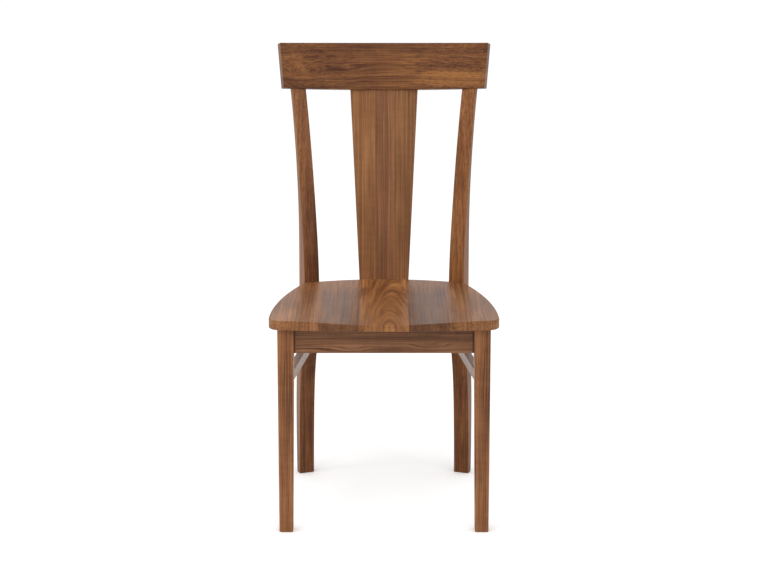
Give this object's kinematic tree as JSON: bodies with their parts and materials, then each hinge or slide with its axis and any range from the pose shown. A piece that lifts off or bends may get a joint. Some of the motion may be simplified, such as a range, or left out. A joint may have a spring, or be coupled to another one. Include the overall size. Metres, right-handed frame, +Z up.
{
  "type": "dining side chair",
  "caption": "Armless wooden dining chair with a T-shaped back: a curved crest rail over a tapered splat, sabre rear posts, a dished plank seat and tapered front legs.",
  "frame": {"origin": "on the floor, under the middle of the chair's bounding box", "axes": "+Z up, +Y from the seat's front edge to the back, +X to the right as seen from the front"},
  "size_m": [0.4724, 0.5158, 0.9817],
  "materials": {
    "walnut": "satin lacquer",
    "block_wood": "bare, sawn",
    "screw_steel": "zinc plated"
  },
  "bodies": {
    "root": {"crest_rail": "walnut", "back_splat_left": "walnut", "back_splat_middle": "walnut", "back_splat_right": "walnut", "rear_post_left": "walnut", "rear_post_right": "walnut", "front_leg_left": "walnut", "front_leg_right": "walnut", "front_apron": "walnut", "side_apron_left": "walnut", "side_apron_right": "walnut", "rear_apron": "walnut", "side_stretcher_left": "walnut", "side_stretcher_right": "walnut", "seat_board_far_left": "walnut", "seat_board_left": "walnut", "seat_board_middle": "walnut", "seat_board_right": "walnut", "seat_board_far_right": "walnut", "corner_block_front_left": "block_wood", "corner_block_front_right": "block_wood", "corner_block_rear_left": "block_wood", "corner_block_rear_right": "block_wood", "block_screws": "screw_steel", "seat_screws": "screw_steel"}
  },
  "joints": []
}
